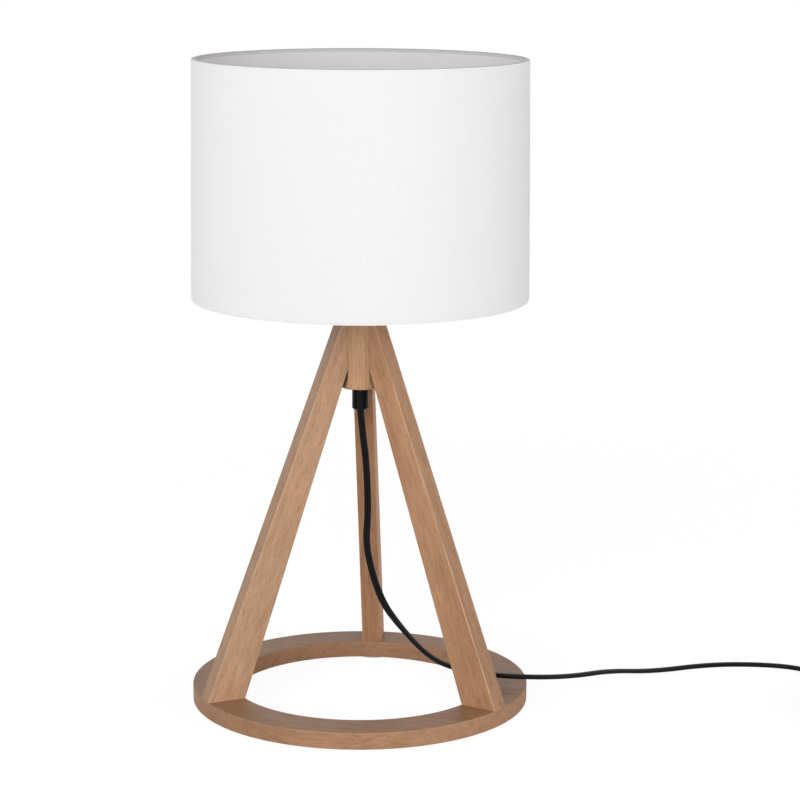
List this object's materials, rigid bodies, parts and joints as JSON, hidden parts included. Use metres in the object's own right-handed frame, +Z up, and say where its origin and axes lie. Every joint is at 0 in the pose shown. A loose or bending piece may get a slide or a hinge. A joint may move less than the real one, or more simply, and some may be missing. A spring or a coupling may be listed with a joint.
{
  "type": "bedside lamp",
  "caption": "Table lamp with a tapered-leg wooden tripod on a flat wooden ring, a white drum shade on a screw lampholder, and a black flex with a rocker switch and plug.",
  "frame": {"origin": "centre of the base ring, on the surface that the felt pads stand on", "axes": "+Z up along the hub, +Y towards the rear leg, +X to the side where the flex leaves"},
  "size_m": [0.5516, 0.25, 0.4775],
  "materials": {
    "oak": "oiled, fine straight grain",
    "dowel_wood": "plain, fluted beech",
    "felt": "dark pressed felt",
    "zinc_steel": "zinc plated",
    "black_plastic": "moulded, satin",
    "black_rubber": "soft moulded",
    "flex": "satin sheath",
    "core_insulation": "extruded",
    "porcelain": "glazed",
    "brass": "rolled strip",
    "nickel": "plated",
    "shade_cloth": "fine plain weave, laminated",
    "shade_lining": "thin sheet",
    "white_wire": "powder coated"
  },
  "bodies": {
    "root": {"base_ring": "oak", "hub": "oak", "leg_rear": "oak", "leg_left": "oak", "leg_right": "oak", "foot_dowels": "dowel_wood", "hub_dowels": "dowel_wood", "felt_pads": "felt", "foot_screws": "zinc_steel", "threaded_tube": "zinc_steel", "hub_washer": "zinc_steel", "lock_nut": "zinc_steel", "grip_screw": "zinc_steel", "terminal_screws": "zinc_steel", "case_screws": "zinc_steel", "rocker_pin": "zinc_steel", "cord_grip": "black_plastic", "holder_cap": "black_plastic", "holder_body": "black_plastic", "switch_base": "black_plastic", "switch_lid": "black_plastic", "plug_body": "black_plastic", "plug_relief": "black_rubber", "cord_tie": "black_rubber", "inner_cord": "flex", "cord_to_switch": "flex", "cord_link": "flex", "cord_coil": "flex", "cord_tail": "flex", "core_wires": "core_insulation", "switch_wires": "core_insulation", "holder_core": "porcelain", "screw_shell": "brass", "centre_contact": "brass", "contact_studs": "brass", "plug_pins": "nickel"},
    "shade": {"shade_cover": "shade_cloth", "shade_liner": "shade_lining", "shade_top_wire": "white_wire", "shade_bottom_wire": "white_wire", "shade_top_hem": "shade_cloth", "shade_bottom_hem": "shade_cloth", "shade_spider": "white_wire"},
    "clamp_ring": {"clamp_ring": "black_plastic"},
    "rocker": {"switch_rocker": "black_plastic", "contact_bridge": "brass"}
  },
  "joints": [
    {"name": "shade_turn", "type": "hinge", "parent": "root", "child": "shade", "pos_m": [0, 0, 0.3155], "axis": [0, 0, 1], "continuous": true},
    {"name": "clamp_ring_turn", "type": "hinge", "parent": "root", "child": "clamp_ring", "pos_m": [0, 0, 0.3197], "axis": [0, 0, 1], "continuous": true},
    {"name": "switch_rock", "type": "hinge", "parent": "root", "child": "rocker", "pos_m": [0.35, 0.013, 0.0116], "axis": [-1, 0, 0], "range_deg": [0, 16]}
  ]
}
